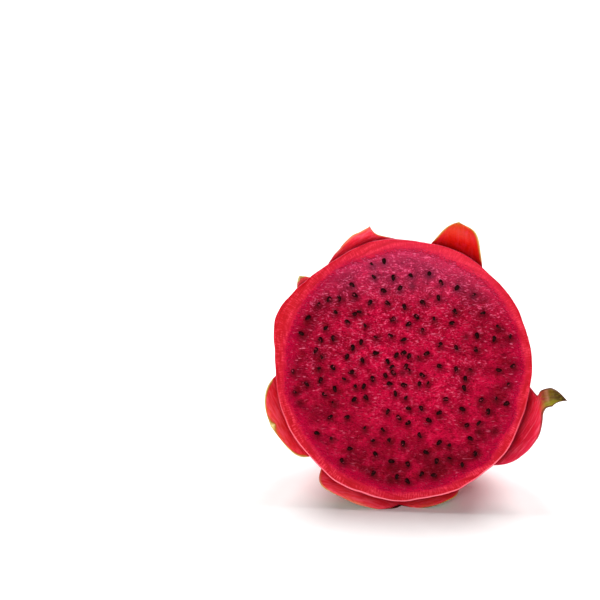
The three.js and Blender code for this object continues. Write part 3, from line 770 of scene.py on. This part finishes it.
def stem_stub():
    """The stub of the stem: a ribbed peg carried straight back, flared where it joins the fruit, with
    a softened rim and a sunken, rough end."""
    angle = ring_angles(columns=96)
    profile = np.array([
        [STUB_FROM, 0.5], [STUB_FROM, STUB_RADIUS + STUB_FLARE], [STUB_FROM + 2, STUB_RADIUS + 1.4],
        [BODY_DEPTH, STUB_RADIUS + 0.3], [STUB_TO - 2, STUB_RADIUS], [STUB_TO - STUB_BEVEL, STUB_RADIUS],
        [STUB_TO - 0.2, STUB_RADIUS - 0.3], [STUB_TO, STUB_RADIUS - STUB_BEVEL],
        [STUB_TO - 0.3, STUB_RADIUS - 1.4], [STUB_TO - 0.5, 2.0], [STUB_TO - 0.3, 0.4],
    ])
    steps = np.linspace(0, len(profile) - 1, 60)
    depth, radius = (np.interp(steps, np.arange(len(profile)), profile[:, part])[:, None]
                     for part in (0, 1))
    ribs = 1 + 0.03 * np.cos(np.radians(5 * angle)) + 0.015 * np.cos(np.radians(17 * angle))
    rings = place(depth + 0 * angle, radius * ribs, angle)
    rings += relief(rings, STUB_RELIEF)[..., None] * np.array([0.3, 0.3, 1.0])
    drying = ease(STUB_FROM + 3, STUB_TO, depth)
    return grow(closed_rings("stem_stub", rings[None], place(STUB_FROM, 0.0, [0.0]),
                             place(STUB_TO - 0.3, 0.0, [0.0]), dict(drying=drying[None]),
                             [stem_finish]), "peel")


def seeded_random(draw):
    """The same even random numbers as the CAD source's: each step adds a constant to a 32-bit number
    and mixes its bits."""
    state = draw
    while True:
        state = (state + 0x6D2B79F5) & 0xFFFFFFFF
        mixed = ((state ^ state >> 15) * (state | 1)) & 0xFFFFFFFF
        mixed ^= (mixed + ((mixed ^ mixed >> 7) * (mixed | 61) & 0xFFFFFFFF)) & 0xFFFFFFFF
        yield (mixed ^ mixed >> 14) / 4294967296


def seed_places():
    """Places for the seeds: random on the cut, none too near another, closer together at the core."""
    random = seeded_random(SEED_DRAW)
    next(random)  # the CAD source uses up the first number when it sets the seed
    places = []
    for attempt in range(SEED_TRIES):
        in_core = attempt < CORE_TRIES
        radius = (CORE_RADIUS if in_core else SEEDED_RADIUS) * np.sqrt(next(random))
        angle = 360 * next(random)
        turned = 180 * next(random)
        apart = mix(*SEED_SPACINGS, np.sqrt(next(random)))
        at = place(0.0, radius, angle)
        spacing = CORE_SPACING if in_core else apart
        if all(np.linalg.norm(at - other) > spacing for other, _ in places):
            places.append((at, turned))
    return np.array([at for at, _ in places]), np.radians([turned for _, turned in places])


seed_at, seed_turned = seed_places()
# Most seeds hardly sink, and a few sink far.
seed_sunk = np.random.default_rng(SINK_DRAW).uniform(0, 1, len(seed_at)) ** 2.5


def flesh_pulp():
    """The pulp: rings from the middle of the cut out to its edge, which laps onto the rind, then the
    hidden dome. The cut has a low fibrous relief, a dent round each seed, and painted shade round each
    seed, where a sunken seed also shows through the pulp."""
    angle = ring_angles(columns=600)
    share = np.append(np.linspace(0.004, 0.9995, PULP_ROWS), 1.0)[:, None]
    reach = hollow_radius(0.0, angle) + PULP_LAP
    face = place(0.0, share * reach, angle)
    inside = reach - share * reach
    swell = PULP_PROUD * ease(0.0, 3.0, inside) + 0.03
    distance = np.full(face.shape[:2], FAR)
    shade = np.zeros(face.shape[:2])
    for at, sunk in zip(seed_at, seed_sunk):
        apart = np.hypot(face[..., 0] - at[0], face[..., 1] - at[1])
        distance = np.minimum(distance, apart)
        # Painted shade round each seed, shifted below it and to the right
        beneath = np.hypot(face[..., 0] - at[0] - SHADE_RIGHT, face[..., 1] - at[1] + SHADE_DOWN)
        shade = np.maximum(shade, SHADE_DEPTH * np.exp(-(beneath / SHADE_REACH) ** 2))
    dent = DENT_DEPTH * np.exp(-(distance / DENT_REACH) ** 2)
    face[..., 2] += swell + (relief(face, PULP_RELIEF) - dent) * ease(0.3, 2.5, inside)
    dome_depth = HOLLOW_DEPTH * np.sin(np.radians(np.linspace(1, HOLLOW_END, DOME_ROWS)))[:, None]
    dome = place(dome_depth, hollow_radius(dome_depth, angle) - PEEL_GAP, angle)
    rings = np.concatenate([face, dome])[None]
    marks = rind_marks(rings, angle)
    marks["seed_shade"] = np.concatenate([shade, np.zeros(dome.shape[:2])])[None]
    return grow(closed_rings("flesh_pulp", rings, place(-PULP_PROUD, 0.0, [0.0]),
                             place(HOLLOW_DEPTH - PEEL_GAP, 0.0, [0.0]), marks, [cut_finish]), "flesh")


def seeds():
    """The seeds: drops of an egg-shaped section, blunt at one end and drawn out at the other, each
    turned its own way in the cut and sunk by its own share."""
    along = np.linspace(0, np.pi, 9)[1:-1, None]
    around = np.linspace(0, 2 * np.pi, 12, endpoint=False)[None, :]
    girth = np.sin(along) ** 0.8 * (1 - 0.3 * np.cos(along - 0.3))
    girth /= girth.max()
    drop = np.stack([
        -0.5 * SEED_LENGTH * np.cos(along) + 0 * around,
        0.5 * SEED_WIDTH * girth * np.cos(around),
        SEED_PROUD * girth * np.sin(around),
    ], -1)
    cosine, sine = np.cos(seed_turned)[:, None, None], np.sin(seed_turned)[:, None, None]

    def laid(points):
        """Turns points in the cut's plane and carries them to each seed's place."""
        turned = np.stack([cosine * points[..., 0] - sine * points[..., 1],
                           sine * points[..., 0] + cosine * points[..., 1],
                           points[..., 2] + 0 * cosine], -1)
        height = PULP_PROUD - SINK_LEAST - SINK_SPREAD * seed_sunk
        sunk = np.stack([0 * seed_sunk, 0 * seed_sunk, height], -1)
        return turned + (seed_at + sunk)[:, None, None]

    tips = laid(np.array([[[-0.5 * SEED_LENGTH, 0.0, 0.0]], [[0.5 * SEED_LENGTH, 0.0, 0.0]]]))[:, :, 0]
    return grow(closed_rings("seeds", laid(drop), tips[:, 0], tips[:, 1], {}, [seed_finish]), "flesh")


peel_skin()
for order, (bract_name, bract_shape) in enumerate(BRACTS.items()):
    if bract_name != COVERED_BRACT:
        bract_blade(bract_name, bract_shape, 100 + order)
stem_stub()
flesh_pulp()
seeds()

# Studio: a white board under soft light
STUDIO_RADIUS = 6.0  # in metres
SKY_SEEN, SKY_GLOW = 1.0, 0.14  # how bright the surroundings look to the camera, and to the fruit
floor_angle = np.linspace(0, 2 * np.pi, 64, endpoint=False)
floor_mesh = bpy.data.meshes.new("table")
floor_mesh.from_pydata(
    np.stack([STUDIO_RADIUS * np.cos(floor_angle), STUDIO_RADIUS * np.sin(floor_angle),
              0 * floor_angle], -1).tolist(), [], [list(range(64))])
floor_mesh.materials.append(table_material())
table = bpy.data.objects.new("table", floor_mesh)
bpy.context.scene.collection.objects.link(table)


def soft_sun(name, strength, spread, elevation, azimuth):
    """A broad soft light from a direction: elevation above the table, azimuth from the front to the
    right."""
    light = bpy.data.lights.new(name, "SUN")
    light.energy = strength
    light.angle = np.radians(spread)
    lamp = bpy.data.objects.new(name, light)
    lamp.rotation_euler = (np.radians(90 - elevation), 0, np.radians(azimuth))
    bpy.context.scene.collection.objects.link(lamp)


soft_sun("rear_right_softbox", strength=2.7, spread=36, elevation=54, azimuth=142)
soft_sun("rear_left_softbox", strength=2.7, spread=36, elevation=54, azimuth=218)
soft_sun("front_softbox", strength=3.0, spread=50, elevation=9, azimuth=-8)

world = bpy.data.worlds.new("studio")
world.use_nodes = True
seen = add(world.node_tree, "ShaderNodeLightPath").outputs["Is Camera Ray"]
glow = add(world.node_tree, "ShaderNodeMath", {0: seen, 1: SKY_SEEN - SKY_GLOW, 2: SKY_GLOW},
           operation="MULTIPLY_ADD")
sky = add(world.node_tree, "ShaderNodeBackground", {"Color": "#ffffff", "Strength": glow})
world.node_tree.links.new(sky.outputs[0], world.node_tree.nodes["World Output"].inputs["Surface"])
bpy.context.scene.world = world
bpy.context.scene.view_settings.view_transform = "Standard"

# Camera: a long lens a little above the fruit, which stands right of the middle of the frame
IMAGE_SIZE = 600.0
LENS, SENSOR = 85.0, 36.0
FOCAL = LENS / SENSOR * IMAGE_SIZE
ELEVATION = np.radians(20.0)
DISTANCE = 494.0
CENTRE_RIGHT, CENTRE_DOWN = 104.0 / FOCAL, 70.0 / FOCAL  # of the middle of the cut, in the frame
spread = np.sqrt(1 + CENTRE_RIGHT ** 2 + CENTRE_DOWN ** 2)
yaw = np.arcsin(CENTRE_RIGHT / (spread * np.cos(ELEVATION)))
pitch = np.arctan(CENTRE_DOWN) - np.arctan2(np.sin(ELEVATION), np.cos(ELEVATION) * np.cos(yaw))
camera_data = bpy.data.cameras.new("camera")
camera_data.lens, camera_data.sensor_width = LENS, SENSOR
camera = bpy.data.objects.new("camera", camera_data)
towards_camera = np.array([0, -np.cos(ELEVATION), np.sin(ELEVATION)])
camera.location = MILLIMETRE * (FACE_CENTRE + DISTANCE * towards_camera)
camera.rotation_euler = (np.pi / 2 + pitch, 0, yaw)
bpy.context.scene.collection.objects.link(camera)
bpy.context.scene.camera = camera
